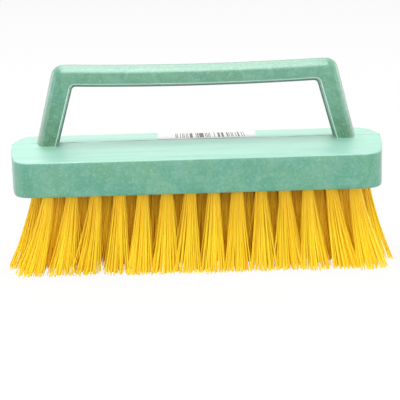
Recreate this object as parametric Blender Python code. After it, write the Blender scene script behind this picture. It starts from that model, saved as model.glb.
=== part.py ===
"""Nail brush with a bow handle: a moulded block and handle in one piece, and staple-set tufts.

The block's top is a shallow roof that falls from a ridge to the front and the back, because
the mould opens along the block's middle plane. Five staggered rows of tufts stand in blind
bores in the underside. Each tuft is folded over a flat steel anchor at the bottom of its bore.
The tips of the filaments rest on the plane z = 0, X runs along the block and the front faces -Y.
"""

import math

import bmesh
import bpy
from mathutils import Matrix, Vector

# Block
block_length = 0.161
block_depth = 0.056
block_edge_height = 0.0146
block_crown = 0.0025
end_bow_radius = 0.100
plan_corner_radius = 0.008
block_edge_round = 0.0006

# Handle, moulded in one with the block
opening_height = 0.0260
opening_top_width = 0.1072
opening_foot_width = 0.1198
bar_height = 0.0092
bar_sag = 0.0010
leg_thickness = 0.0098
handle_depth = 0.0120
outer_corner_radius = 0.0055
inner_corner_radius = 0.0022
outer_edge_round = 0.0034
opening_draft = 0.0010
foot_embed = 0.0050

# Tuft pattern
free_height = 0.0350
row_count = 5
tufts_in_long_row = 15
end_margin = 0.0098
side_margin = 0.0080
pattern_offset = 0.0015

# Bores, and the slice of the backing that each row of tufts is fused to
bore_diameter = 0.0052
bore_depth = 0.0110
slice_thickness = 0.0012
slice_lip = 0.0007

# Filaments
filament_length = 0.0355
root_stub = 0.0005
strands_in_tuft = 6
strand_growth_share = 1.25
tip_gap = 0.0004
end_lean = 0.0063
side_lean = 0.0050

# Anchors
anchor_thickness = 0.00045
anchor_height = 0.0020
anchor_bite = 0.0003
anchor_link_height = 0.0008
fold_height = 0.0014

# Label on the rear slope of the top
label_length = 0.0440
label_offset = 0.0050
label_thickness = 0.0002
label_ridge_margin = 0.0010
label_edge_margin = 0.0015

# Clearance between neighbours, and how far a cutter runs past what it cuts
clearance = 0.0003
overrun = 0.0020

# Numbers of facets, and the least angle that shows as an edge
bow_steps = 3
corner_steps = 4
edge_steps = 2
round_steps = 3
bore_sides = 8
sharp_angle = math.radians(35)
sag_shares = (-0.6, -0.3, 0.0, 0.3, 0.6)
bend_share = 0.5
bend_reach_share = 0.4

# Places that follow from the sizes above
underside = free_height
edge_top = underside + block_edge_height
ridge_top = edge_top + block_crown
half_length = block_length / 2
half_depth = block_depth / 2
half_handle = handle_depth / 2
tuft_pitch = (block_length - 2 * end_margin) / (tufts_in_long_row - 1)
row_pitch = (block_depth - 2 * side_margin) / (row_count - 1)
plug_radius = bore_diameter / 2 - clearance
bore_top = underside + bore_depth
plug_top = bore_top - clearance
anchor_top = plug_top - fold_height - clearance
anchor_low = anchor_top - anchor_height


def clear_scene():
    for obj in list(bpy.data.objects):
        bpy.data.objects.remove(obj, do_unlink=True)


def new_collection(name):
    collection = bpy.data.collections.new(name)
    bpy.context.scene.collection.children.link(collection)
    return collection


def new_material(name, colour, roughness, metallic=0.0):
    """A Principled material in one linear colour."""
    material = bpy.data.materials.new(name)
    material.use_nodes = True
    shader = material.node_tree.nodes["Principled BSDF"]
    shader.inputs["Base Color"].default_value = (*colour, 1.0)
    shader.inputs["Roughness"].default_value = roughness
    shader.inputs["Metallic"].default_value = metallic
    material.diffuse_color = (*colour, 1.0)
    return material


def new_piece(name, bm, material):
    """An object of the brush from a bmesh, smooth where its facets stand for a round."""
    bmesh.ops.recalc_face_normals(bm, faces=bm.faces)
    mesh = bpy.data.meshes.new(name)
    bm.to_mesh(mesh)
    bm.free()
    mesh.shade_smooth()
    mesh.set_sharp_from_angle(angle=sharp_angle)
    mesh.materials.append(material)
    piece = bpy.data.objects.new(name, mesh)
    pieces.objects.link(piece)
    piece.parent = origin
    return piece


def new_helper(name, bm):
    """A solid that is only joined to a piece or cut from it."""
    bmesh.ops.recalc_face_normals(bm, faces=bm.faces)
    mesh = bpy.data.meshes.new(name)
    bm.to_mesh(mesh)
    bm.free()
    helper = bpy.data.objects.new(name, mesh)
    cutters.objects.link(helper)
    helper.hide_render = True
    helper.display_type = "WIRE"
    return helper


def add_boolean(piece, operation, helper):
    modifier = piece.modifiers.new(helper.name, "BOOLEAN")
    modifier.operation = operation
    modifier.solver = "EXACT"
    modifier.object = helper


def arc(centre, radius, start, stop, steps):
    """Points on an arc from one angle to another, both ends included."""
    angles = [start + (stop - start) * step / steps for step in range(steps + 1)]
    return [
        (centre[0] + radius * math.cos(a), centre[1] + radius * math.sin(a))
        for a in angles
    ]


def filleted(corners, steps):
    """A closed outline from (x, z, radius) corners, each rounded by an arc tangent to its two sides."""
    outline = []
    for index, (x, z, radius) in enumerate(corners):
        corner = Vector((x, z))
        if not radius:
            outline.append(corner)
            continue
        before = Vector(corners[index - 1][:2]) - corner
        after = Vector(corners[(index + 1) % len(corners)][:2]) - corner
        half_angle = before.angle(after) / 2
        middle = corner + (before.normalized() + after.normalized()).normalized() * (
            radius / math.sin(half_angle)
        )
        first = corner + before.normalized() * (radius / math.tan(half_angle)) - middle
        last = corner + after.normalized() * (radius / math.tan(half_angle)) - middle
        turn = first.angle_signed(last)
        for step in range(steps + 1):
            spoke = first.copy()
            spoke.rotate(Matrix.Rotation(-turn * step / steps, 2))
            outline.append(middle + spoke)
    return outline


def add_box(bm, low, high):
    """A box between two corners, from a unit cube."""
    size = Vector(high) - Vector(low)
    middle = (Vector(high) + Vector(low)) / 2
    bmesh.ops.create_cube(
        bm, size=1, matrix=Matrix.Translation(middle) @ Matrix.Diagonal((*size, 1))
    )


def round_edges(bm, edges, radius, steps):
    bmesh.ops.bevel(
        bm, geom=edges, offset=radius, segments=steps, profile=0.5, affect="EDGES"
    )


def split(bm, point, normal):
    """Divides every face that a plane crosses."""
    everything = bm.verts[:] + bm.edges[:] + bm.faces[:]
    bmesh.ops.bisect_plane(bm, geom=everything, plane_co=point, plane_no=normal)


def pull(bm, outline, vec):
    """A flat outline of 3D points extruded along a vector."""
    face = bm.faces.new([bm.verts.new(point) for point in outline])
    pulled = bmesh.ops.extrude_face_region(bm, geom=[face])["geom"]
    moved = [item for item in pulled if isinstance(item, bmesh.types.BMVert)]
    bmesh.ops.translate(bm, verts=moved, vec=vec)


def plan_outline():
    """The block seen from above: bowed ends, and an arc at each corner tangent to end and side."""
    bow_x = half_length - end_bow_radius
    centre_y = half_depth - plan_corner_radius
    reach = end_bow_radius - plan_corner_radius
    centre_x = bow_x + math.sqrt(reach**2 - centre_y**2)
    meet = math.asin(centre_y / reach)
    quarter = arc((bow_x, 0), end_bow_radius, 0, meet, bow_steps)[:-1]
    quarter += arc(
        (centre_x, centre_y), plan_corner_radius, meet, math.pi / 2, corner_steps
    )
    left = [(-x, y) for x, y in reversed(quarter)]
    back = quarter + left
    front = [(x, -y) for x, y in reversed(back[1:-1])]
    return back + front


def block_solid():
    """The plan outline pulled up to the edge of the top, with the roof raised to its ridge."""
    bm = bmesh.new()
    floor = [(x, y, underside) for x, y in plan_outline()]
    pull(bm, floor, (0, 0, block_edge_height))
    rims = [edge for edge in bm.edges if edge.verts[0].co.z == edge.verts[1].co.z]
    round_edges(bm, rims, block_edge_round, edge_steps)
    split(bm, (0, 0, 0), (0, 1, 0))
    for vertex in bm.verts:
        if vertex.co.z > underside + block_edge_height / 2:
            vertex.co.z += block_crown * (1 - abs(vertex.co.y) / half_depth)
    return bm


def handle_outline(draft):
    """The bow from the front: its outer side from foot to foot, then its inner side back again.

    The draft widens the opening on each side.
    """
    foot = ridge_top - foot_embed
    top_z = ridge_top + opening_height
    inner_top = Vector((opening_top_width / 2, top_z))
    inner_foot = Vector((opening_foot_width / 2, ridge_top))
    down = (inner_foot - inner_top) / opening_height
    outward = Vector((-down.y, down.x)).normalized()
    sides = []
    for offset, level, radius in (
        (outward * leg_thickness, top_z + bar_height, outer_corner_radius),
        (outward * draft, top_z + draft, inner_corner_radius),
    ):
        line = inner_top + offset
        at_top = line + down * (line.y - level)
        at_foot = line + down * (line.y - foot)
        right = [(at_top.x, at_top.y, radius), (at_foot.x, at_foot.y, 0)]
        left = [(-x, z, corner_radius) for x, z, corner_radius in reversed(right)]
        sides.append(left + right)
    outer, inner = sides
    return filleted(outer + inner[::-1], round_steps)


def handle_solid():
    """The bow lofted from the front face to the parting plane and on to the back face."""
    bm = bmesh.new()
    rings = []
    for y, draft in ((-half_handle, opening_draft), (0, 0), (half_handle, opening_draft)):
        outline = handle_outline(draft)
        rings.append([bm.verts.new((x, y, z)) for x, z in outline])
    for first, second in zip(rings, rings[1:]):
        for index in range(len(first)):
            bm.faces.new(
                (first[index - 1], first[index], second[index], second[index - 1])
            )
    bm.faces.new(rings[0])
    bm.faces.new(rings[-1])
    bmesh.ops.recalc_face_normals(bm, faces=bm.faces)
    outer_sides = [ring[: len(ring) // 2] for ring in (rings[0], rings[-1])]
    outer_edges = [
        bm.edges.get(ends) for side in outer_sides for ends in zip(side, side[1:])
    ]
    round_edges(bm, outer_edges, outer_edge_round, round_steps)
    half_opening = opening_top_width / 2
    for share in sag_shares:
        split(bm, (share * half_opening, 0, 0), (1, 0, 0))
    for vertex in bm.verts:
        if abs(vertex.co.x) < half_opening:
            vertex.co.z -= bar_sag * (1 - (vertex.co.x / half_opening) ** 2)
    return bm


def row_places():
    """For each row its y and the x of each tuft. Long and short rows take turns, half a pitch apart."""
    rows = []
    for row in range(row_count):
        count = tufts_in_long_row - 1 + row % 2
        y = (row - (row_count - 1) / 2) * row_pitch
        xs = [(i - (count - 1) / 2) * tuft_pitch + pattern_offset for i in range(count)]
        rows.append((y, xs))
    return rows


def tip_centre(x, y):
    """Where a tuft's middle ends: the outer tufts lean out, and the tips centre on the block."""
    half_span = tuft_pitch * (tufts_in_long_row - 1) / 2
    half_rows = row_pitch * (row_count - 1) / 2
    along = (x - pattern_offset) / half_span
    across = y / half_rows
    return Vector(
        (
            half_span * along + end_lean * along * abs(along),
            y + side_lean * across * abs(across),
        )
    )


def strand_splay():
    """How far a strand moves out to its tip, so that its outer corners end on the tuft's tip circle."""
    diagonal = math.hypot(tuft_pitch / 2, row_pitch)
    tip_radius = (min(tuft_pitch, diagonal) - tip_gap) / 2
    half_angle = math.pi / strands_in_tuft
    corner_radius = plug_radius * strand_growth_share
    middle_radius = plug_radius * math.cos(half_angle) * 2 / 3
    across = corner_radius * math.sin(half_angle)
    out = math.sqrt(tip_radius**2 - across**2) - corner_radius * math.cos(half_angle)
    return out + middle_radius * (strand_growth_share - 1)


def add_tuft(bm, x, y, splay, bends):
    """A root in its bore, whose lower end is parted into strands that splay to the cut tips."""
    low = underside - root_stub
    made = bmesh.ops.create_cone(
        bm,
        cap_ends=True,
        segments=strands_in_tuft,
        radius1=plug_radius,
        radius2=plug_radius,
        depth=plug_top - low,
        matrix=Matrix.Translation((x, y, (plug_top + low) / 2)),
    )
    caps = {face for vertex in made["verts"] for face in vertex.link_faces}
    lower = min(caps, key=lambda face: face.calc_center_median().z)
    strands = bmesh.ops.poke(bm, faces=[lower])["faces"]
    axis = Vector((x, y))
    lean = tip_centre(x, y) - axis
    steps = [(1, 1)] if not bends else [(bend_share, bend_reach_share), (1, 1)]
    for face in strands:
        centre = face.calc_center_median().xy
        corners = [vertex.co.xy - centre for vertex in face.verts]
        reach = lean + (centre - axis).normalized() * splay
        drop = math.sqrt(filament_length**2 - reach.length_squared) - root_stub
        tip = max(0, low - drop)
        for down_share, reach_share in steps:
            face = bmesh.ops.extrude_discrete_faces(bm, faces=[face])["faces"][0]
            growth = 1 + (strand_growth_share - 1) * down_share
            for vertex, corner in zip(face.verts, corners):
                place = centre + reach * reach_share + corner * growth
                vertex.co = (*place, low + (tip - low) * down_share)


def anchor_strip(xs, y, grow):
    """One row's anchors, each across its bore and linked along their upper edge."""
    half_tab = bore_diameter / 2 + anchor_bite + grow
    link_low = anchor_top - anchor_link_height - grow
    lower = []
    for x in xs:
        lower += [
            (x - half_tab, link_low),
            (x - half_tab, anchor_low - grow),
            (x + half_tab, anchor_low - grow),
            (x + half_tab, link_low),
        ]
    lower = lower[1:-1]
    outline = lower + [
        (lower[-1][0], anchor_top + grow),
        (lower[0][0], anchor_top + grow),
    ]
    half = anchor_thickness / 2 + grow
    bm = bmesh.new()
    pull(bm, [(x, y - half, z) for x, z in outline], (0, 2 * half, 0))
    return bm


def slice_box(bm, xs, y, grow):
    """The slice of backing under one row, or its groove in the block when grown by the clearance."""
    half_width = bore_diameter / 2 + slice_lip + grow
    low = underside - (overrun if grow else 0)
    add_box(
        bm,
        (xs[0] - half_width, y - half_width, low),
        (xs[-1] + half_width, y + half_width, underside + slice_thickness + grow),
    )


def build_block_and_handle(material, anchor_cutters):
    block = new_piece("block_and_handle", block_solid(), material)
    add_boolean(block, "UNION", new_helper("handle_bow", handle_solid()))
    grooves = bmesh.new()
    bores = bmesh.new()
    bore_low = underside - overrun
    bore_radius = bore_diameter / 2 / math.cos(math.pi / bore_sides)
    for y, xs in row_places():
        slice_box(grooves, xs, y, clearance)
        for x in xs:
            bmesh.ops.create_cone(
                bores,
                cap_ends=True,
                segments=bore_sides,
                radius1=bore_radius,
                radius2=bore_radius,
                depth=bore_top - bore_low,
                matrix=Matrix.Translation((x, y, (bore_top + bore_low) / 2))
                @ Matrix.Rotation(math.pi / bore_sides, 4, "Z"),
            )
    add_boolean(block, "DIFFERENCE", new_helper("slice_grooves", grooves))
    add_boolean(block, "DIFFERENCE", new_helper("tuft_bores", bores))
    for cutter in anchor_cutters:
        add_boolean(block, "DIFFERENCE", cutter)


def build_tuft_rows(material, anchor_cutters):
    for number, ((y, xs), cutter) in enumerate(zip(row_places(), anchor_cutters), 1):
        backing = bmesh.new()
        slice_box(backing, xs, y, 0)
        row = new_piece(f"tuft_row_{number}", backing, material)
        tufts = bmesh.new()
        for x in xs:
            add_tuft(tufts, x, y, strand_splay(), number in (1, row_count))
        add_boolean(row, "UNION", new_helper(f"tufts_{number}", tufts))
        add_boolean(row, "DIFFERENCE", cutter)


def build_anchor_rows(material):
    for number, (y, xs) in enumerate(row_places(), 1):
        new_piece(f"anchor_row_{number}", anchor_strip(xs, y, 0), material)


def build_label(material):
    """A paper sticker laid on the rear slope, from just behind the ridge to just before the edge."""
    slope_angle = math.atan2(block_crown, half_depth)
    slope_length = math.hypot(block_crown, half_depth)
    start = label_ridge_margin
    stop = slope_length - label_edge_margin - block_edge_round
    bm = bmesh.new()
    add_box(
        bm,
        (-label_length / 2, start, clearance),
        (label_length / 2, stop, clearance + label_thickness),
    )
    label = new_piece("label", bm, material)
    label.location = (label_offset, 0, ridge_top)
    label.rotation_euler = (-slope_angle, 0, 0)


clear_scene()
pieces = new_collection("nail_brush")
cutters = new_collection("cutters")
cutters.hide_render = True
origin = bpy.data.objects.new("nail_brush_origin", None)
pieces.objects.link(origin)

green_plastic = new_material("green_foamed_plastic", (0.17, 0.42, 0.29), 0.55)
yellow_filament = new_material("yellow_filament", (0.83, 0.52, 0.02), 0.45)
steel_wire = new_material("galvanised_steel_wire", (0.55, 0.56, 0.57), 0.35, 1.0)
white_paper = new_material("white_paper", (0.85, 0.85, 0.85), 0.6)

row_cutters = [
    new_helper(f"anchor_slot_{number}", anchor_strip(xs, y, clearance))
    for number, (y, xs) in enumerate(row_places(), 1)
]
build_block_and_handle(green_plastic, row_cutters)
build_tuft_rows(yellow_filament, row_cutters)
build_anchor_rows(steel_wire)
build_label(white_paper)
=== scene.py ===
import math

import bmesh
import bpy
import numpy as np
from mathutils import Matrix, Vector


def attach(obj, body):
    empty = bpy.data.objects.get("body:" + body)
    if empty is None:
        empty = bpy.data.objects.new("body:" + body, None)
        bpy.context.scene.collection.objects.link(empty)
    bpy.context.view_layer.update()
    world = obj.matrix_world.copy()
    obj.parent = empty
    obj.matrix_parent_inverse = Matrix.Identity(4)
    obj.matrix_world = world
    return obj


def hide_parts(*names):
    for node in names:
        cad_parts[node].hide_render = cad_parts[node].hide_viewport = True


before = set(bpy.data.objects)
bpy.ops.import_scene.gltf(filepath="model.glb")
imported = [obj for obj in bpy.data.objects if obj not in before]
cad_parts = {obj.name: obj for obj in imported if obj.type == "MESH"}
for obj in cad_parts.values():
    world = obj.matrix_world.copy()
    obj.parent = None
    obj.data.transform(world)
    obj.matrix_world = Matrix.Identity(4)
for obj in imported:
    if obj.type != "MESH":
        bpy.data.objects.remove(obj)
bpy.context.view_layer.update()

# Block, the body of the moulding.
# Foamed polypropylene shot into a two-part mould that opens along the block's middle plane, so its
# top is a roof that falls to the front and the back, with a thin flash left along the parting line.
underside = 0.0344
edge_top = 0.0496
ridge_top = 0.0521
half_length = 0.0809
half_depth = 0.0280
end_bow_radius = 0.100
plan_corner_radius = 0.0080
block_edge_round = 0.0006
flash_height = 0.00016
flash_half_width = 0.00016
flash_tip_half_width = 0.00007
flash_mean_share = 0.55
flash_ripple_length = 0.0370
flash_ripple_share = 0.25
flash_beat_share = 0.20
flash_beat_ratio = 2.7
bore_radius = 0.0026
bore_top = 0.0460
bore_cone_height = 0.0004
bore_rim = 0.00020
row_pitch = 0.0100
tuft_pitch = 0.0101
pattern_offset = 0.0015
tufts_in_row = (14, 15, 14, 15, 14)
bow_points = 16
corner_points = 14
side_points = 60
wall_points = 8
round_points = 5
roof_points = 16
bore_sides = 20
merge_distance = 0.000004


def ring_quads(rings, count):
    """The quads between closed rings of points, laid ring after ring. A quad is a point, the next
    one, the one above that and the one above the first."""
    ring = np.arange(rings - 1)[:, None] * count
    here = np.arange(count)[None, :]
    after = (here + 1) % count
    corners = (ring + here, ring + after, ring + count + after, ring + count + here)
    return np.stack(corners, axis=-1).reshape(-1, 4)


def mesh_of(name, points, *face_sets):
    """A mesh from an array of points and from arrays of faces, one array for each number of corners."""
    corners = np.concatenate([faces.ravel() for faces in face_sets]).astype(np.int32)
    sizes = np.concatenate([np.full(len(faces), faces.shape[1]) for faces in face_sets])
    starts = (np.cumsum(sizes) - sizes).astype(np.int32)
    mesh = bpy.data.meshes.new(name)
    mesh.vertices.add(len(points))
    mesh.vertices.foreach_set("co", points.astype(np.float32).ravel())
    mesh.loops.add(len(corners))
    mesh.loops.foreach_set("vertex_index", corners)
    mesh.polygons.add(len(sizes))
    mesh.polygons.foreach_set("loop_start", starts)
    mesh.update(calc_edges=True)
    return mesh


def close_holes(mesh):
    """Merges the doubles, fills every open rim with triangles and turns the faces outward."""
    bm = bmesh.new()
    bm.from_mesh(mesh)
    bmesh.ops.remove_doubles(bm, verts=bm.verts, dist=merge_distance)
    rims = [edge for edge in bm.edges if edge.is_boundary]
    bmesh.ops.triangle_fill(bm, use_beauty=True, edges=rims)
    bmesh.ops.recalc_face_normals(bm, faces=bm.faces)
    bm.to_mesh(mesh)
    bm.free()


def plan_loop():
    """The block from above, anticlockwise from the middle of the right end: points and outward normals.

    A quarter is a shallow arc across the end, an arc round the corner and a straight side. The other
    three are its mirror images. Points crowd where the flash runs down the end.
    """
    centre_y = half_depth - plan_corner_radius
    reach = end_bow_radius - plan_corner_radius
    bow_x = half_length - end_bow_radius
    centre_x = bow_x + math.sqrt(reach**2 - centre_y**2)
    meet = math.asin(centre_y / reach)
    crowd = np.arcsin(np.array([0, flash_tip_half_width, flash_half_width]) / end_bow_radius)
    bow = np.concatenate([crowd, np.linspace(0, meet, bow_points)[1:-1]])
    corner = np.linspace(meet, math.pi / 2, corner_points)
    angles = np.concatenate([bow, corner, np.full(side_points, math.pi / 2)])
    normals = np.stack([np.cos(angles), np.sin(angles)], axis=-1)
    centres = np.concatenate(
        [
            np.tile([bow_x, 0], (len(bow), 1)),
            np.tile([centre_x, centre_y], (corner_points, 1)),
            np.stack([np.linspace(centre_x, 0, side_points + 1)[1:],
                      np.full(side_points, centre_y)], axis=-1),
        ]
    )
    radii = np.where(np.arange(len(angles)) < len(bow), end_bow_radius, plan_corner_radius)
    quarter = np.stack([centres + normals * radii[:, None], normals])
    back = np.concatenate([quarter, (quarter * (-1, 1))[:, -2::-1]], axis=1)
    front = (back * (-1, -1))[:, 1:-1]
    return np.concatenate([back, front], axis=1)


def roof_height(y):
    """The top falls in a straight line from the ridge to the front and to the back edge."""
    return edge_top + (ridge_top - edge_top) * (1 - np.abs(y) / half_depth)


def flash_at(x, y):
    """How far the flash stands out: a blunt fin over the parting plane that a trimmer left uneven. Its
    height is a mean share plus two sines along the block, the second one shorter than the first."""
    fin = (flash_half_width - np.abs(y)) / (flash_half_width - flash_tip_half_width)
    turn = 2 * math.pi * x / flash_ripple_length
    ripple = flash_mean_share + flash_ripple_share * np.sin(turn)
    ripple += flash_beat_share * np.sin(flash_beat_ratio * turn + 1)
    return flash_height * np.clip(fin, 0, 1) * ripple


def block_shell():
    """The plan loop carried up the edge round, the wall and the top round, then in to the ridge.

    A round is a quarter circle of insets and heights, and the flash adds its own share of out and
    lift. On the roof a ring keeps its x and its y shrinks to nothing, so the front and the back of
    the last ring meet along the ridge.
    """
    plan, outward = plan_loop()
    turn = np.linspace(0, math.pi / 2, round_points)[:, None]
    up = np.linspace(0, 1, wall_points)[1:-1, None]
    shrink = np.concatenate(
        [
            np.linspace(1, 0, roof_points)[1:-1],
            np.array([flash_half_width, flash_tip_half_width, 0]) / half_depth,
        ]
    )[:, None]
    level = np.ones(len(plan))

    def ring_set(inset, height, out, lift):
        """One ring of points for each inset, at its height, with the flash pushed out and up."""
        place = plan - outward * inset[:, :, None]
        fin = flash_at(place[..., 0], place[..., 1])
        return np.concatenate(
            [place + outward * (fin * out)[..., None], (height + fin * lift)[..., None]], axis=-1
        )

    lower = ring_set(
        block_edge_round * (1 - np.sin(turn)),
        underside + block_edge_round * (1 - np.cos(turn)) * level,
        np.sin(turn),
        0,
    )
    rim = plan - outward * block_edge_round
    wall_top = roof_height(plan[:, 1]) - block_edge_round
    wall_low = underside + block_edge_round
    wall = ring_set(np.zeros_like(up), wall_low + (wall_top - wall_low) * up, 1, 0)
    upper = ring_set(
        block_edge_round * (1 - np.cos(turn)),
        roof_height(plan[:, 1]) - block_edge_round * (1 - np.sin(turn)),
        np.cos(turn),
        np.sin(turn),
    )
    roof_y = rim[:, 1] * shrink
    roof_x = rim[:, 0] * np.ones_like(shrink)
    roof_z = roof_height(roof_y) + flash_at(roof_x, roof_y)
    roof = np.stack([roof_x, roof_y, roof_z], axis=-1)
    rings = np.concatenate([lower, wall, upper, roof])
    return rings.reshape(-1, 3), ring_quads(len(rings), len(plan))


def tuft_places(row):
    """The middle of each tuft of a row, at the underside: rows of 14 and 15 take turns."""
    count = tufts_in_row[row]
    x = (np.arange(count) - (count - 1) / 2) * tuft_pitch + pattern_offset
    y = np.full(count, (row - (len(tufts_in_row) - 1) / 2) * row_pitch)
    return np.stack([x, y], axis=-1)


def bores():
    """The drilled bores: a profile of radius and height turned about each tuft's axis, with a
    broken edge at the mouth and a flat cone at the end."""
    radius = np.array([bore_radius + bore_rim, bore_radius, bore_radius, 0])
    height = np.array([underside, underside + bore_rim, bore_top - bore_cone_height, bore_top])
    turn = np.linspace(0, 2 * math.pi, bore_sides, endpoint=False)
    one = np.stack(
        [
            radius[:, None] * np.cos(turn),
            radius[:, None] * np.sin(turn),
            height[:, None] * np.ones(bore_sides),
        ],
        axis=-1,
    ).reshape(-1, 3)
    middles = np.concatenate([tuft_places(row) for row in range(len(tufts_in_row))])
    middles = np.pad(middles, ((0, 0), (0, 1)))
    points = (middles[:, None] + one).reshape(-1, 3)
    quads = ring_quads(len(radius), bore_sides)
    starts = np.arange(len(middles)) * len(one)
    return points, (starts[:, None, None] + quads).reshape(-1, 4)


shell_points, shell_quads = block_shell()
bore_points, bore_quads = bores()
block_mesh = mesh_of(
    "brush_moulding",
    np.concatenate([shell_points, bore_points]),
    np.concatenate([shell_quads, bore_quads + len(shell_points)]),
)
close_holes(block_mesh)

# Handle, moulded in one with the block.
# A bow with a flat front and back and a crowned outer side. Its inner side has draft from the
# parting plane to both faces, a chamfered rim, and flash along the parting line.
bar_underside = 0.0774
inner_half_top = 0.0536
inner_half_foot = 0.0607
bar_height = 0.0091
leg_width_top = 0.0099
leg_width_foot = 0.0091
bar_sag = 0.0010
half_handle = 0.0060
inner_corner_radius = 0.0022
outer_corner_radius = 0.0056
crown_turn = 0.78
crown_edge_round = 0.0009
rim_chamfer = 0.00045
rim_chamfer_depth = 0.00060
bar_draft = 0.0014
leg_draft = 0.00050
handle_flash_height = 0.00045
outer_flash_height = 0.00010
foot_depth = 0.0030
bar_points = 44
bend_points = 16
leg_points = 28
inner_points = 6
crown_points = 13
moulding_crease = math.radians(32)


def bow_line(bar_z, half_top, half_foot, radius):
    """One line of the bow, foot to foot, and its outward normals, in the XZ plane.

    The bar runs at its height, and a leg through two points, level with the opening's top and with
    the ridge. Each corner is an arc, whose centre lies one radius inside both lines. All such lines
    have their points at matching places.
    """
    run = np.array([half_foot - half_top, ridge_top - bar_underside])
    leg_normal = np.array([-run[1], run[0]]) / np.linalg.norm(run)
    normals = np.array([[0, 1], leg_normal])
    reaches = np.array([bar_z, leg_normal @ (half_top, bar_underside)])
    centre = np.linalg.solve(normals, reaches - radius)
    lean = math.atan2(leg_normal[1], leg_normal[0])
    turn = np.linspace(math.pi / 2, lean, bend_points)
    arc_normals = np.stack([np.cos(turn), np.sin(turn)], axis=-1)
    arc = centre + radius * arc_normals
    bar = np.linspace([0, arc[0, 1]], arc[0], bar_points)[:-1]
    foot_z = ridge_top - foot_depth
    foot = arc[-1] + run * (foot_z - arc[-1, 1]) / run[1]
    leg = np.linspace(arc[-1], foot, leg_points)[1:]
    places = np.concatenate([bar, arc, leg])
    ways = np.concatenate([
        np.tile(normals[0], (len(bar), 1)), arc_normals, np.tile(leg_normal, (len(leg), 1))
    ])
    sag = bar_sag * np.clip(1 - (places[:, 0] / inner_half_top) ** 2, 0, 1)
    places[:, 1] -= sag
    right = np.stack([places, ways])
    left = (right * (-1, 1))[:, :0:-1]
    return np.concatenate([left, right], axis=1)


def bow_section(draft):
    """Half of the bow's section, from the parting plane round the front to the parting plane again.

    It runs along the flash, the drafted inner side, the chamfered rim, the front face, the round at
    the face's edge and the crown to the outer flash. The crown is an arc that the round meets at
    the crown's turn. A point has a y and a distance in from its own line, the inner or the outer
    one. The draft has one value for each point along the bow.
    """
    flash_y = np.array([flash_tip_half_width, flash_half_width])
    side_y = np.linspace(flash_half_width, half_handle - rim_chamfer_depth, inner_points)[1:]
    inner_y = np.concatenate([flash_y, side_y, [half_handle]])
    side_in = draft[:, None] * side_y / (half_handle - rim_chamfer_depth)
    ones = np.ones_like(draft)[:, None]
    inner_in = np.concatenate(
        [-handle_flash_height * ones, np.zeros_like(ones), side_in, side_in[:, -1:] + rim_chamfer],
        axis=1)
    edge = np.linspace(math.pi / 2, crown_turn, round_points)
    crown_end = half_handle - crown_edge_round * (1 - math.sin(crown_turn))
    crown_radius = crown_end / math.sin(crown_turn)
    crown = np.linspace(crown_turn, math.asin(flash_half_width / crown_radius), crown_points)[1:]
    edge_y = half_handle - crown_edge_round * (1 - np.sin(edge))
    edge_in = crown_edge_round * (math.cos(crown_turn) - np.cos(edge))
    edge_in += crown_radius * (1 - math.cos(crown_turn))
    crown_in = crown_radius * (1 - np.cos(crown))
    outer_y = np.concatenate([edge_y, crown_radius * np.sin(crown), [flash_tip_half_width]])
    outer_in = np.concatenate([edge_in, crown_in, [-outer_flash_height]])
    return inner_in, inner_y, outer_in, outer_y


def handle_mesh():
    """The section carried along the bow: its inner points hang on the inner line, its outer points
    on the outer line, and the back is the front's mirror image. The draft goes from the legs' to the
    bar's with the square of how far the line's outward normal points up. The rim's chamfer faces are
    marked for a painted highlight, and the opening's inner side, under the bar and at the legs' far
    half, is marked for painted shade."""
    inner_line, inner_way = bow_line(
        bar_underside, inner_half_top, inner_half_foot, inner_corner_radius)
    outer_line, outer_way = bow_line(
        bar_underside + bar_height, inner_half_top + leg_width_top,
        inner_half_foot + leg_width_foot, outer_corner_radius)
    upward = inner_way[:, 1] ** 2
    draft = leg_draft + (bar_draft - leg_draft) * upward
    inner_in, inner_y, outer_in, outer_y = bow_section(draft)
    inner = inner_line[:, None] + inner_way[:, None] * inner_in[..., None]
    outer = outer_line[:, None] - outer_way[:, None] * outer_in[:, None]
    flat = np.concatenate([inner, outer], axis=1)
    depth = np.broadcast_to(np.concatenate([inner_y, outer_y]), flat.shape[:2])
    front = np.stack([flat[..., 0], -depth, flat[..., 1]], axis=-1)
    back = (front * (1, -1, 1))[:, ::-1]
    rings = np.concatenate([front, back], axis=1)
    count = rings.shape[1]
    mesh = mesh_of("handle", rings.reshape(-1, 3), ring_quads(len(rings), count))
    rim = len(inner_y) - 2
    face = np.arange(count)
    cut = (face == rim) | (face == count - 2 - rim)
    near = (face > 0) & (face < rim)
    far = (face > count - 2 - rim) & (face < count - 2)
    inner_side_shade = upward[:-1, None] * near + far
    for name, marks in (("rim_highlight", np.broadcast_to(cut, inner_side_shade.shape)), ("inner_side_shade", inner_side_shade)):
        values = mesh.attributes.new(name, "FLOAT", "FACE").data
        values.foreach_set("value", marks.astype(np.float32).ravel())
    return mesh


handle = bpy.data.objects.new("handle", handle_mesh())
close_holes(handle.data)
bpy.context.scene.collection.objects.link(handle)
moulding = bpy.data.objects.new("brush_moulding", block_mesh)
bpy.context.scene.collection.objects.link(moulding)
union = moulding.modifiers.new("one_moulding", "BOOLEAN")
union.operation = "UNION"
union.solver = "EXACT"
union.object = handle
graph = bpy.context.evaluated_depsgraph_get()
joined = bpy.data.meshes.new_from_object(moulding.evaluated_get(graph))
moulding.modifiers.clear()
moulding.data = joined
bpy.data.objects.remove(handle)
joined.shade_smooth()
joined.set_sharp_from_angle(angle=moulding_crease)


def linear(shade):
    """An sRGB hex colour as linear RGBA: a twelfth and a bit near black, above that a power of 2.4."""
    parts = np.array([int(shade[start:start + 2], 16) for start in (0, 2, 4)]) / 255
    curve = np.where(parts <= 0.04045, parts / 12.92, ((parts + 0.055) / 1.055) ** 2.4)
    return (*curve.tolist(), 1.0)


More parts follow.
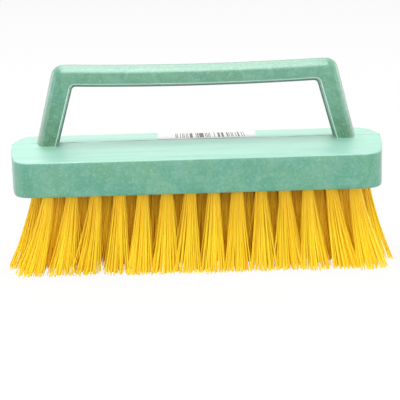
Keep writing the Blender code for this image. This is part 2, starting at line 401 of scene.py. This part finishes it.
def new_material(name):
    """A material with its own node tree, and the tree, its Principled shader and its Object
    coordinates."""
    material = bpy.data.materials.new(name)
    material.use_nodes = True
    tree = material.node_tree
    shader = tree.nodes["Principled BSDF"]
    place = tree.nodes.new("ShaderNodeTexCoord").outputs["Object"]
    return material, tree, shader, place


def add_node(tree, kind, settings, inputs):
    """A node with its properties, and with values or other nodes' sockets on its inputs."""
    node = tree.nodes.new(kind)
    for name, value in settings.items():
        setattr(node, name, value)
    for name, value in inputs.items():
        if isinstance(value, bpy.types.NodeSocket):
            tree.links.new(value, node.inputs[name])
        else:
            node.inputs[name].default_value = value
    return node


def foamed_polypropylene():
    """Moulded structural foam: gas streaks marble it from teal to leaf green, pale and dark flecks of
    regrind sit under the skin, and the skin has a soft satin gloss over a faint orange peel. The
    handle is mixed darker, more so towards its feet, and a deep green at the feet is painted shade
    where the legs meet the block. The block's top is painted paler in streaks along X, as painted
    light from above, and has less coat. A point's height over the roof tells the top from the handle.
    The rim's chamfer is painted pale as a painted highlight, the opening's inner side is painted dark
    as painted shade, and a grey painted shade lies in patches along the parting line's flash. The
    flecks are drawn twice as coarse as they are."""
    material, tree, shader, place = new_material("foamed_polypropylene")
    hue_patch = 0.014
    marble_size = 0.0075
    fleck_size = 0.00095
    grain_size = 0.0004
    top_band_depth = 0.0004
    foot_shade_reach = 0.012
    top_streak_width = 0.0045
    patches = add_node(tree, "ShaderNodeTexNoise", {}, {
        "Vector": place, "Scale": 1 / hue_patch, "Detail": 4.0, "Roughness": 0.6})
    hue = add_node(tree, "ShaderNodeMapRange", {}, {
        "Value": patches.outputs["Fac"], "From Min": 0.38, "From Max": 0.62})
    body = add_node(tree, "ShaderNodeMix", {"data_type": "RGBA"}, {
        "Factor": hue.outputs["Result"], "A": linear("3D947A"), "B": linear("4D9975")})
    axes = add_node(tree, "ShaderNodeSeparateXYZ", {}, {"Vector": place})
    from_middle = add_node(tree, "ShaderNodeMath", {"operation": "ABSOLUTE"}, {
        0: axes.outputs["Y"]})
    roof = add_node(tree, "ShaderNodeMapRange", {}, {
        "Value": from_middle.outputs[0], "From Min": 0.0, "From Max": half_depth,
        "To Min": ridge_top, "To Max": edge_top})
    above = add_node(tree, "ShaderNodeMath", {"operation": "SUBTRACT"}, {
        0: axes.outputs["Z"], 1: roof.outputs["Result"]})
    on_handle = add_node(tree, "ShaderNodeMath", {"operation": "GREATER_THAN"}, {
        0: above.outputs[0], 1: top_band_depth})
    on_top = add_node(tree, "ShaderNodeMath", {"operation": "COMPARE"}, {
        0: above.outputs[0], 1: 0.0, 2: top_band_depth})
    handle_dark_and_foot_shade = body
    # The handle is mixed darker, more so towards its feet; the deep green step at the feet is painted
    # shade where the legs meet the block.
    for reach, at_foot, at_end, shade in (
            (bar_underside - ridge_top, 1.0, 0.5, "2C7A56"), (foot_shade_reach, 0.85, 0.0, "0C6630")):
        share = add_node(tree, "ShaderNodeMapRange", {}, {
            "Value": above.outputs[0], "From Min": 0.0, "From Max": reach,
            "To Min": at_foot, "To Max": at_end})
        depth = add_node(tree, "ShaderNodeMath", {"operation": "MULTIPLY"}, {
            0: on_handle.outputs[0], 1: share.outputs["Result"]})
        handle_dark_and_foot_shade = add_node(tree, "ShaderNodeMix", {"data_type": "RGBA"}, {
            "Factor": depth.outputs[0], "A": handle_dark_and_foot_shade.outputs["Result"], "B": linear(shade)})
    marble = add_node(tree, "ShaderNodeTexNoise", {}, {
        "Vector": place, "Scale": 1 / marble_size, "Detail": 6.0, "Roughness": 0.62,
        "Distortion": 0.8})
    streaks = add_node(tree, "ShaderNodeMapRange", {}, {
        "Value": marble.outputs["Fac"], "From Min": 0.42, "From Max": 0.70, "To Max": 0.35})
    marbled = add_node(tree, "ShaderNodeMix", {"data_type": "RGBA"}, {
        "Factor": streaks.outputs["Result"], "A": handle_dark_and_foot_shade.outputs["Result"], "B": linear("88BBA6")})
    flecks = add_node(tree, "ShaderNodeTexNoise", {}, {
        "Vector": place, "Scale": 1 / fleck_size, "Detail": 3.0, "Roughness": 0.7})

    def with_flecks(under, low, high, share, shade):
        """The plastic with a shade laid over it, more so the further the noise is from low to high."""
        spots = add_node(tree, "ShaderNodeMapRange", {}, {
            "Value": flecks.outputs["Fac"], "From Min": low, "From Max": high, "To Max": share})
        return add_node(tree, "ShaderNodeMix", {"data_type": "RGBA"}, {
            "Factor": spots.outputs["Result"], "A": under.outputs["Result"], "B": linear(shade)})

    dark_flecked = with_flecks(marbled, 0.47, 0.28, 0.38, "2F7358")
    # Painted light: the block's top is mixed towards a pale green, in streaks along X, standing in for
    # light from above.
    along = add_node(tree, "ShaderNodeMapping", {}, {"Vector": place, "Scale": (0.12, 1, 1)})
    top_streaks = add_node(tree, "ShaderNodeTexNoise", {}, {
        "Vector": along.outputs["Vector"], "Scale": 1 / top_streak_width, "Detail": 3.0})
    top_light_share = add_node(tree, "ShaderNodeMapRange", {}, {
        "Value": top_streaks.outputs["Fac"], "From Min": 0.3, "From Max": 0.7, "To Min": 0.52,
        "To Max": 0.74})
    pale = add_node(tree, "ShaderNodeMath", {"operation": "MULTIPLY"}, {
        0: on_top.outputs[0], 1: top_light_share.outputs["Result"]})
    top_lit = add_node(tree, "ShaderNodeMix", {"data_type": "RGBA"}, {
        "Factor": pale.outputs[0], "A": dark_flecked.outputs["Result"], "B": linear("A8DACA")})
    flecked = with_flecks(top_lit, 0.53, 0.72, 0.30, "A9CBB9")
    # Painted highlight: the rim's chamfer faces are painted pale.
    cut = add_node(tree, "ShaderNodeAttribute", {"attribute_name": "rim_highlight"}, {})
    rim_highlighted = add_node(tree, "ShaderNodeMix", {"data_type": "RGBA"}, {
        "Factor": cut.outputs["Fac"], "A": flecked.outputs["Result"], "B": linear("C9EBDF")})
    # Painted shade: the opening's inner side, under the bar and at the legs' far half, is painted dark.
    inner_shade_mask = add_node(tree, "ShaderNodeAttribute", {"attribute_name": "inner_side_shade"}, {})
    inner_shaded = add_node(tree, "ShaderNodeMix", {"data_type": "RGBA"}, {
        "Factor": inner_shade_mask.outputs["Fac"], "A": rim_highlighted.outputs["Result"], "B": linear("26493F")})
    # Painted shade: a grey is painted in patches along the parting line's flash.
    parting = add_node(tree, "ShaderNodeMath", {"operation": "COMPARE"}, {
        0: axes.outputs["Y"], 1: 0.0, 2: flash_half_width})
    flash_shade_patches = add_node(tree, "ShaderNodeMapRange", {}, {
        "Value": marble.outputs["Fac"], "From Min": 0.35, "From Max": 0.60, "To Min": 0.10,
        "To Max": 0.60})
    flash_shade = add_node(tree, "ShaderNodeMath", {"operation": "MULTIPLY"}, {
        0: parting.outputs[0], 1: flash_shade_patches.outputs["Result"]})
    flash_shaded = add_node(tree, "ShaderNodeMix", {"data_type": "RGBA"}, {
        "Factor": flash_shade.outputs[0], "A": inner_shaded.outputs["Result"], "B": linear("4A6A60")})
    tree.links.new(flash_shaded.outputs["Result"], shader.inputs["Base Color"])
    dull = add_node(tree, "ShaderNodeMapRange", {}, {
        "Value": marble.outputs["Fac"], "From Min": 0.3, "From Max": 0.7, "To Min": 0.42,
        "To Max": 0.56})
    tree.links.new(dull.outputs["Result"], shader.inputs["Roughness"])
    grain = add_node(tree, "ShaderNodeTexNoise", {}, {
        "Vector": place, "Scale": 1 / grain_size, "Detail": 2.0})
    peel = add_node(tree, "ShaderNodeBump", {}, {
        "Height": flecks.outputs["Fac"], "Distance": 0.00010, "Strength": 0.5})
    skin = add_node(tree, "ShaderNodeBump", {}, {
        "Height": grain.outputs["Fac"], "Distance": 0.00003, "Strength": 0.5,
        "Normal": peel.outputs["Normal"]})
    tree.links.new(skin.outputs["Normal"], shader.inputs["Normal"])
    shader.inputs["IOR"].default_value = 1.49
    gloss = add_node(tree, "ShaderNodeMapRange", {}, {
        "Value": on_top.outputs[0], "To Min": 0.9, "To Max": 0.45})
    tree.links.new(gloss.outputs["Result"], shader.inputs["Coat Weight"])
    shader.inputs["Coat Roughness"].default_value = 0.40
    shader.inputs["Coat IOR"].default_value = 1.6
    return material


moulding.data.materials.clear()
moulding.data.materials.append(foamed_polypropylene())
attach(moulding, "root")
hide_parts("block_and_handle")

# Anchors, one in each bore.
# Short lengths of flat galvanised steel wire, sheared off and driven across the bore, so that their
# ends bite into the plastic and hold the filaments folded over them.
anchor_top = 0.0440
anchor_height = 0.0020
anchor_half_length = 0.0029
anchor_half_thickness = 0.000225
anchor_round = 0.00008
anchor_shear = 0.00010


def anchor_row(row):
    """A rectangle with cut corners carried along X through four stations: the two end stations are
    drawn in where the shear pressed the wire's edges down."""
    half_height = anchor_height / 2
    y = anchor_half_thickness - anchor_round * np.array([0, 1, 1, 0])
    z = half_height - anchor_round * np.array([1, 0, 0, 1])
    section = np.stack([
        np.concatenate([y * (1, 1, -1, -1), y * (-1, -1, 1, 1)]),
        np.concatenate([z * (1, 1, 1, 1), z * (-1, -1, -1, -1)]),
    ], axis=-1)
    stations = np.array([-1, -1, 1, 1]) * anchor_half_length
    stations += np.array([0, 1, -1, 0]) * anchor_shear
    draw = 1 - np.array([1, 0, 0, 1]) * anchor_shear / half_height
    rings = np.empty((len(stations), len(section), 3))
    rings[..., 0] = stations[:, None]
    rings[..., 1:] = section * draw[:, None, None]
    rings[..., 2] += anchor_top - half_height
    middles = np.pad(tuft_places(row), ((0, 0), (0, 1)))
    points = (middles[:, None, None] + rings).reshape(-1, 3)
    in_anchor = len(stations) * len(section)
    starts = (np.arange(len(middles)) * in_anchor)[:, None, None]
    sides = (starts + ring_quads(len(stations), len(section))).reshape(-1, 4)
    corners = np.arange(len(section))
    ends = starts + np.stack([corners[::-1], in_anchor - len(section) + corners])
    return mesh_of(f"anchors_{row + 1}", points, sides, ends.reshape(-1, len(section)))


def galvanised_steel():
    """Zinc-coated flat wire, drawn through a die: dull grey with a faint spangle and fine lengthwise
    draw marks, which run along X."""
    material, tree, shader, place = new_material("galvanised_steel")
    spangle_size = 0.0006
    draw_mark = 0.00008
    spangle = add_node(tree, "ShaderNodeTexVoronoi", {}, {"Vector": place, "Scale": 1 / spangle_size})
    shade = add_node(tree, "ShaderNodeMix", {"data_type": "RGBA"}, {
        "Factor": spangle.outputs["Color"], "A": linear("A9ABAC"), "B": linear("C4C6C7")})
    tree.links.new(shade.outputs["Result"], shader.inputs["Base Color"])
    marks = add_node(tree, "ShaderNodeMapping", {}, {"Vector": place, "Scale": (0.03, 1, 1)})
    scratch = add_node(tree, "ShaderNodeTexNoise", {}, {
        "Vector": marks.outputs["Vector"], "Scale": 1 / draw_mark})
    relief = add_node(tree, "ShaderNodeBump", {}, {
        "Height": scratch.outputs["Fac"], "Distance": 0.00001})
    tree.links.new(relief.outputs["Normal"], shader.inputs["Normal"])
    shader.inputs["Metallic"].default_value = 1.0
    shader.inputs["Roughness"].default_value = 0.38
    return material


steel = galvanised_steel()
for row in range(len(tufts_in_row)):
    anchors = bpy.data.objects.new(f"anchors_{row + 1}", anchor_row(row))
    bpy.context.scene.collection.objects.link(anchors)
    anchors.data.materials.append(steel)
    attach(anchors, "root")
    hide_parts(f"anchor_row_{row + 1}")

# Filaments, 43 to a tuft and 86 cut ends.
# Extruded polypropylene monofilament, cut to length, folded in half over the anchor and trimmed once
# the brush is full. The outer tufts have spread and lean out from use and from packing.
filament_radius = 0.00023
filament_pitch = 0.00044
cut_flare_share = 0.18
cut_flare_power = 12
packing_radius = 0.00233
packing_rows = 8
free_length = 0.0369
length_spread = 0.00030
trim_spread = 0.00030
tip_offset = 0.0006
end_lean = 0.0070
short_row_lean = 0.0022
side_lean = 0.0064
side_lean_skew_share = 0.25
corner_power = 1.3
tip_spread_share = 2.50
spread_variation_share = 0.07
squareness_share = 0.70
tip_scatter = 0.00055
tuft_scatter = 0.00075
stray_share = 0.045
stray_reach = 0.0024
sway = 0.00020
straightness_share = 0.70
thickness_spread_share = 0.07
filament_sides = 5
filament_crease = math.radians(75)
clear_surfaces_passed = 32
leg_shares = np.array([1, 0.75, 0.5, 0.25, 0])
fold_rise_share = 0.75


def root_places():
    """Where the legs in front of the anchor stand in a bore, as distances along and across it: a
    close-packed grid, each filament touching the next, as far out as the bore lets it go."""
    rank = np.arange(packing_rows)[:, None]
    along = (np.arange(-packing_rows, packing_rows + 1) + 0.5 * (rank % 2)) * filament_pitch
    across = filament_pitch + rank * filament_pitch * math.sqrt(0.75)
    across = np.broadcast_to(across, along.shape)
    inside = np.hypot(along, across) <= packing_radius
    return np.stack([along[inside], across[inside]], axis=-1)


def tip_middles(places):
    """Where each tuft's middle ends. It leans out with the square of its place along the row, a
    little more in a short row, whose ends have room outside. It leans sideways with a power of its
    row's place: the square at the brush's middle, and less towards the ends, by the fourth power of
    the place, so that there the inner rows follow the outer ones. The right end leans a little more,
    where the brush has been pressed harder."""
    half_span = tuft_pitch * (max(tufts_in_row) - 1) / 2
    half_rows = row_pitch * (len(tufts_in_row) - 1) / 2
    along = (places[:, 0] - pattern_offset) / half_span
    across = places[:, 1] / half_rows
    out = end_lean + short_row_lean * (len(places) < max(tufts_in_row))
    side = side_lean * (1 + side_lean_skew_share * along)
    power = 2 - corner_power * along**4
    lean = np.stack([out * along * np.abs(along),
                     side * np.sign(across) * np.abs(across) ** power], axis=-1)
    return np.stack([half_span * along + tip_offset, places[:, 1]], axis=-1) + lean


def filament_lines(row, chance):
    """The centre line of each filament of a row, from one cut end over the fold to the other.

    A leg starts at its mouth, and at share t of its drop it is straightness * t plus the rest times
    t squared of the way to its tip, with a sideways sway of one half sine. The tip is the tuft's own
    spread times the root's place, pushed out from a circle towards a square, because tufts press
    on each other, with some scatter. The drop is what its length or the trimmer leaves.
    """
    places = tuft_places(row)
    roots = root_places()
    count = (len(places), len(roots), 2)
    sides = roots[:, None] * np.array([[1, -1], [1, 1]])
    mouth = places[:, None, None] + sides
    middle = tip_middles(places) + chance.normal(0, tuft_scatter, places.shape)
    spread = tip_spread_share * (1 + chance.normal(0, spread_variation_share, (len(places), 1, 1, 1)))
    outness = np.hypot(sides[..., 0], sides[..., 1]) / np.abs(sides).max(axis=-1)
    squared = sides * (1 + squareness_share * (outness[..., None] - 1))
    tip = middle[:, None, None] + squared * spread + chance.normal(0, tip_scatter, (*count, 2))
    astray = chance.random(count) < stray_share
    tip += astray[..., None] * chance.normal(0, stray_reach, (*count, 2))
    reach = tip - mouth
    length = free_length + chance.normal(0, length_spread, count)
    drop = np.sqrt(length**2 - (reach**2).sum(-1))
    tip_z = np.maximum(underside - drop, np.abs(chance.normal(0, trim_spread, count)))
    shares = leg_shares[:, None]
    way = straightness_share * shares + (1 - straightness_share) * shares**2
    swing = chance.normal(0, sway, (*count, 1, 2)) * np.sin(math.pi * shares)
    legs = np.empty((*count, len(leg_shares), 3))
    legs[..., :2] = mouth[..., None, :] + reach[..., None, :] * way + swing
    legs[..., 2] = underside + (tip_z[..., None] - underside) * leg_shares
    shoulder = np.concatenate([mouth, np.full((*count, 1), anchor_top)], axis=-1)
    crest = shoulder.mean(axis=2, keepdims=True)
    crest[..., 2] += roots[:, None, 1] * fold_rise_share
    lines = np.concatenate(
        [legs[:, :, 0], shoulder[:, :, :1], crest, shoulder[:, :, 1:], legs[:, :, 1, ::-1]], axis=2
    )
    return lines.reshape(-1, lines.shape[2], 3)


def tubes(lines, radii):
    """A tube round each line: at each of its points a ring, square to the line's mean direction
    there, and a flat face on each end. The trimmer's blade spread the last ring a little."""
    ways = np.gradient(lines, axis=1)
    ways /= np.linalg.norm(ways, axis=-1, keepdims=True)
    aside = np.array([1.0, 0, 0]) - ways * ways[..., :1]
    aside /= np.linalg.norm(aside, axis=-1, keepdims=True)
    above = np.cross(ways, aside)
    turn = np.linspace(0, 2 * math.pi, filament_sides, endpoint=False)[:, None]
    ring = aside[:, :, None] * np.cos(turn) + above[:, :, None] * np.sin(turn)
    stations = lines.shape[1]
    flare = 1 + cut_flare_share * np.abs(np.linspace(-1, 1, stations)) ** cut_flare_power
    points = lines[:, :, None] + ring * (radii[:, None] * flare)[:, :, None, None]
    in_tube = stations * filament_sides
    starts = (np.arange(len(lines)) * in_tube)[:, None, None]
    sides = (starts + ring_quads(stations, filament_sides)).reshape(-1, 4)
    corners = np.arange(filament_sides)
    ends = np.stack([corners[::-1], in_tube - filament_sides + corners])
    return points.reshape(-1, 3), sides, (starts + ends).reshape(-1, filament_sides)


def yellow_monofilament():
    """Extruded, drawn polypropylene: smooth and a little waxy, so it has a long soft highlight, and
    each filament's tone differs a little, because tufts mix filaments from many spools. The
    filaments' upper part, near the block, is painted a darker orange as painted shade. Most of the
    lamps' light passes on through a filament, warmer than it came, so the inner ones glow too. A ray
    meets dozens of filaments on its way in, so the scene lets it pass that many clear surfaces."""
    material, tree, shader, place = new_material("yellow_monofilament")
    draw_streak = 0.0002
    root_shade_reach = 0.020
    tone = add_node(tree, "ShaderNodeAttribute", {"attribute_name": "filament_tone"}, {})
    shade = add_node(tree, "ShaderNodeMix", {"data_type": "RGBA"}, {
        "Factor": tone.outputs["Fac"], "A": linear("FDD61A"), "B": linear("FFEC34")})
    along = add_node(tree, "ShaderNodeMapping", {}, {"Vector": place, "Scale": (1, 1, 0.04)})
    streak = add_node(tree, "ShaderNodeTexNoise", {}, {
        "Vector": along.outputs["Vector"], "Scale": 1 / draw_streak})
    pale = add_node(tree, "ShaderNodeMapRange", {}, {
        "Value": streak.outputs["Fac"], "From Min": 0.5, "From Max": 0.8, "To Max": 0.25})
    streaked = add_node(tree, "ShaderNodeMix", {"data_type": "RGBA"}, {
        "Factor": pale.outputs["Result"], "A": shade.outputs["Result"], "B": linear("FFE860")})
    axes = add_node(tree, "ShaderNodeSeparateXYZ", {}, {"Vector": place})
    # Painted shade: the filaments' upper part, near the block, is mixed towards a darker orange.
    root_shade = add_node(tree, "ShaderNodeMapRange", {}, {
        "Value": axes.outputs["Z"], "From Min": underside - root_shade_reach, "From Max": underside,
        "To Max": 0.55})
    root_shaded = add_node(tree, "ShaderNodeMix", {"data_type": "RGBA"}, {
        "Factor": root_shade.outputs["Result"], "A": streaked.outputs["Result"], "B": linear("F4AE2C")})
    tree.links.new(root_shaded.outputs["Result"], shader.inputs["Base Color"])
    shader.inputs["Roughness"].default_value = 0.45
    shader.inputs["IOR"].default_value = 1.49
    shader.inputs["Specular IOR Level"].default_value = 0.3
    rays = add_node(tree, "ShaderNodeLightPath", {}, {})
    warmed = add_node(tree, "ShaderNodeBsdfTransparent", {}, {"Color": linear("F8EA8C")})
    waxy = add_node(tree, "ShaderNodeMixShader", {}, {
        0: rays.outputs["Is Shadow Ray"], 1: shader.outputs[0], 2: warmed.outputs[0]})
    tree.links.new(waxy.outputs[0], tree.nodes["Material Output"].inputs["Surface"])
    return material


monofilament = yellow_monofilament()
bpy.context.scene.cycles.transparent_max_bounces = clear_surfaces_passed
for row in range(len(tufts_in_row)):
    chance = np.random.default_rng(row)
    lines = filament_lines(row, chance)
    radii = filament_radius * (1 + chance.normal(0, thickness_spread_share, len(lines)))
    mesh = mesh_of(f"filaments_{row + 1}", *tubes(lines, radii))
    tone = mesh.attributes.new("filament_tone", "FLOAT", "POINT")
    tones = np.repeat(chance.random(len(lines)), len(mesh.vertices) // len(lines))
    tone.data.foreach_set("value", tones.astype(np.float32))
    mesh.shade_smooth()
    mesh.set_sharp_from_angle(angle=filament_crease)
    mesh.materials.append(monofilament)
    filaments = bpy.data.objects.new(mesh.name, mesh)
    bpy.context.scene.collection.objects.link(filaments)
    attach(filaments, "root")
    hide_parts(f"tuft_row_{row + 1}")

# Label, stuck on the rear slope of the top.
# Coated white paper with a printed code of plain bars, which stand for no number. It lies on the
# plastic, with rounded corners and one corner that has begun to lift.
label_low_x = -0.0170
label_high_x = 0.0270
label_front_y = 0.0012
label_back_y = 0.0258
label_corner_radius = 0.0015
label_thickness = 0.00012
label_seat = 0.00002
corner_lift = 0.0005
corner_lift_reach = 0.007
bars_low_x = -0.0090
bars_high_x = 0.0217
bars_front_y = 0.0045
bars_back_y = 0.0210
bar_module = 0.00033
label_columns = 60
label_rows = 36


def label_mesh():
    """A sheet on the roof: a grid squeezed in y near its ends, so that its corners are arcs, given
    an upper and a lower side. The rear right corner rises with the square of its nearness."""
    width = label_high_x - label_low_x
    depth = label_back_y - label_front_y
    u = np.linspace(0, 1, label_columns)
    ease = (1 - np.cos(math.pi * u)) / 2
    x = label_low_x + width * ease
    to_end = np.minimum(x - label_low_x, label_high_x - x)
    short = np.clip(label_corner_radius - to_end, 0, None)
    draw_in = label_corner_radius - np.sqrt(label_corner_radius**2 - short**2)
    v = np.linspace(0, 1, label_rows)[:, None]
    y = label_front_y + draw_in + (depth - 2 * draw_in) * v
    x = np.broadcast_to(x, y.shape)
    from_corner = np.hypot(label_high_x - x, label_back_y - y)
    lift = corner_lift * np.clip(1 - from_corner / corner_lift_reach, 0, 1) ** 2
    low = np.stack([x, y, roof_height(y) + label_seat + lift], axis=-1).reshape(-1, 3)
    high = low + (0, 0, label_thickness)
    cell = np.arange(label_rows - 1)[:, None] * label_columns + np.arange(label_columns - 1)
    quads = np.stack([cell, cell + 1, cell + label_columns + 1, cell + label_columns], axis=-1)
    quads = quads.reshape(-1, 4)
    count = label_columns * label_rows
    index = np.arange(count).reshape(label_rows, label_columns)
    edge = np.concatenate([index[0], index[1:, -1], index[-1, -2::-1], index[-2:0:-1, 0]])
    after = np.roll(edge, -1)
    rim = np.stack([edge, after, after + count, edge + count], axis=-1)
    return mesh_of("bar_label", np.concatenate([low, high]),
                   np.concatenate([quads[:, ::-1], quads + count, rim]))


def coated_paper():
    """White coated paper, thermal printed: smooth, a little glossy, with faint mottle. The bars are
    whole modules wide, and each module is black or bare by a random number of its own."""
    material, tree, shader, place = new_material("coated_paper")
    mottle_size = 0.0006
    axes = add_node(tree, "ShaderNodeSeparateXYZ", {}, {"Vector": place})
    along = add_node(tree, "ShaderNodeMath", {"operation": "MULTIPLY"}, {
        0: axes.outputs["X"], 1: 1 / bar_module})
    module = add_node(tree, "ShaderNodeMath", {"operation": "FLOOR"}, {0: along.outputs[0]})
    number = add_node(tree, "ShaderNodeTexWhiteNoise", {"noise_dimensions": "1D"}, {
        "W": module.outputs[0]})
    black = add_node(tree, "ShaderNodeMath", {"operation": "GREATER_THAN"}, {
        0: number.outputs["Value"], 1: 0.5})
    mask = black.outputs[0]
    for axis, low, high in (("X", bars_low_x, bars_high_x), ("Y", bars_front_y, bars_back_y)):
        middle = (low + high) / 2
        inside = add_node(tree, "ShaderNodeMath", {"operation": "COMPARE"}, {
            0: axes.outputs[axis], 1: middle, 2: high - middle})
        mask = add_node(tree, "ShaderNodeMath", {"operation": "MULTIPLY"}, {
            0: mask, 1: inside.outputs[0]}).outputs[0]
    mottle = add_node(tree, "ShaderNodeTexNoise", {}, {"Vector": place, "Scale": 1 / mottle_size})
    paper = add_node(tree, "ShaderNodeMix", {"data_type": "RGBA"}, {
        "Factor": mottle.outputs["Fac"], "A": linear("D6D6D4"), "B": linear("DEDEDE")})
    printed = add_node(tree, "ShaderNodeMix", {"data_type": "RGBA"}, {
        "Factor": mask, "A": paper.outputs["Result"], "B": linear("6A6266")})
    tree.links.new(printed.outputs["Result"], shader.inputs["Base Color"])
    relief = add_node(tree, "ShaderNodeBump", {}, {
        "Height": mottle.outputs["Fac"], "Distance": 0.00001})
    tree.links.new(relief.outputs["Normal"], shader.inputs["Normal"])
    shader.inputs["Roughness"].default_value = 0.8
    return material


label = bpy.data.objects.new("bar_label", label_mesh())
bpy.context.scene.collection.objects.link(label)
label.data.materials.append(coated_paper())
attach(label, "root")
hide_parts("label")

# Stage, light and camera.
# A white floor that keeps a faint shadow, a soft light overhead, weaker ones in front, at the sides
# and behind, and a camera on a long lens a little above the brush, as the photograph was taken.
floor_radius = 3.0
floor_sides = 64
camera_target = Vector((0.00098, 0, 0.02439))
camera_distance = 0.650
camera_yaw = 0.023
camera_pitch = 0.252
camera_roll = -0.024
camera_lens = 131.6
sensor_width = 36.0
lamp_aim = Vector((0, 0, 0.04))
backdrop_strength = 1.0
glow_share = 0.90
fill_strength = 0.20


def white_seen_direct(tree):
    """1 for rays that a viewer sees straight, mirrored or through glass, and 0 for those that light."""
    rays = add_node(tree, "ShaderNodeLightPath", {}, {})
    total = rays.outputs["Is Camera Ray"]
    for name in ("Is Glossy Ray", "Is Transmission Ray"):
        total = add_node(tree, "ShaderNodeMath", {"operation": "MAXIMUM"}, {
            0: total, 1: rays.outputs[name]}).outputs[0]
    return total


def white_floor():
    """A matte white floor that shows as white, with part of its own shading left to hold shadows.
    From below it lets sight through."""
    material, tree, shader, _ = new_material("white_floor")
    shader.inputs["Base Color"].default_value = linear("E6E6E6")
    shader.inputs["Roughness"].default_value = 0.9
    glow = add_node(tree, "ShaderNodeEmission", {}, {"Strength": backdrop_strength})
    shown = add_node(tree, "ShaderNodeMath", {"operation": "MULTIPLY"}, {
        0: white_seen_direct(tree), 1: glow_share})
    seen = add_node(tree, "ShaderNodeMixShader", {}, {
        0: shown.outputs[0], 1: shader.outputs[0], 2: glow.outputs[0]})
    clear = add_node(tree, "ShaderNodeBsdfTransparent", {}, {})
    side = add_node(tree, "ShaderNodeNewGeometry", {}, {})
    both = add_node(tree, "ShaderNodeMixShader", {}, {
        0: side.outputs["Backfacing"], 1: seen.outputs[0], 2: clear.outputs[0]})
    tree.links.new(both.outputs[0], tree.nodes["Material Output"].inputs["Surface"])
    return material


floor_turn = np.linspace(0, 2 * math.pi, floor_sides, endpoint=False)
floor_rim = np.stack([np.cos(floor_turn), np.sin(floor_turn), np.zeros(floor_sides)], axis=-1)
floor_mesh = mesh_of("floor", floor_rim * floor_radius, np.arange(floor_sides)[None, :])
floor = bpy.data.objects.new("floor", floor_mesh)
floor.data.materials.append(white_floor())
bpy.context.scene.collection.objects.link(floor)

world = bpy.data.worlds.new("studio")
bpy.context.scene.world = world
world.use_nodes = True
sky = world.node_tree.nodes["Background"]
sky.inputs["Color"].default_value = linear("FFFFFF")
level = add_node(world.node_tree, "ShaderNodeMapRange", {}, {
    "Value": white_seen_direct(world.node_tree), "To Min": fill_strength,
    "To Max": backdrop_strength})
world.node_tree.links.new(level.outputs["Result"], sky.inputs["Strength"])


def soft_light(name, place, size, power):
    """A square area light at a place, turned to face the middle of the brush."""
    data = bpy.data.lights.new(name, "AREA")
    data.size = size
    data.energy = power
    light = bpy.data.objects.new(name, data)
    light.location = place
    light.rotation_euler = (lamp_aim - Vector(place)).to_track_quat("-Z", "Y").to_euler()
    bpy.context.scene.collection.objects.link(light)


soft_light("overhead", (-0.03, 0.04, 0.92), 0.5, 6.2)
soft_light("high_rear", (-0.10, 0.62, 0.80), 0.6, 2.9)
soft_light("high_front", (0.05, -0.60, 0.60), 0.6, 1.4)
soft_light("front", (0.05, -1.00, 0.28), 0.7, 3.7)
soft_light("left", (-0.80, -0.15, 0.12), 0.35, 1.5)
soft_light("right", (0.80, -0.15, 0.12), 0.35, 1.5)
soft_light("rear_left", (-0.75, 0.60, 0.15), 0.4, 1.2)
soft_light("rear_right", (0.75, 0.60, 0.15), 0.4, 1.2)
soft_light("rear", (0.0, 1.00, 0.32), 0.9, 0.3)

forward = Vector((
    math.sin(camera_yaw) * math.cos(camera_pitch),
    math.cos(camera_yaw) * math.cos(camera_pitch),
    -math.sin(camera_pitch),
))
level_right = Vector((math.cos(camera_yaw), -math.sin(camera_yaw), 0))
level_up = level_right.cross(forward)
right = math.cos(camera_roll) * level_right + math.sin(camera_roll) * level_up
up = right.cross(forward)
camera = bpy.data.objects.new("camera", bpy.data.cameras.new("camera"))
camera.data.lens = camera_lens
camera.data.sensor_width = sensor_width
camera.data.clip_end = 20
turned = Matrix((right, up, -forward)).transposed().to_4x4()
camera.matrix_world = Matrix.Translation(camera_target - forward * camera_distance) @ turned
bpy.context.scene.collection.objects.link(camera)
bpy.context.scene.camera = camera
bpy.context.scene.view_settings.view_transform = "Standard"
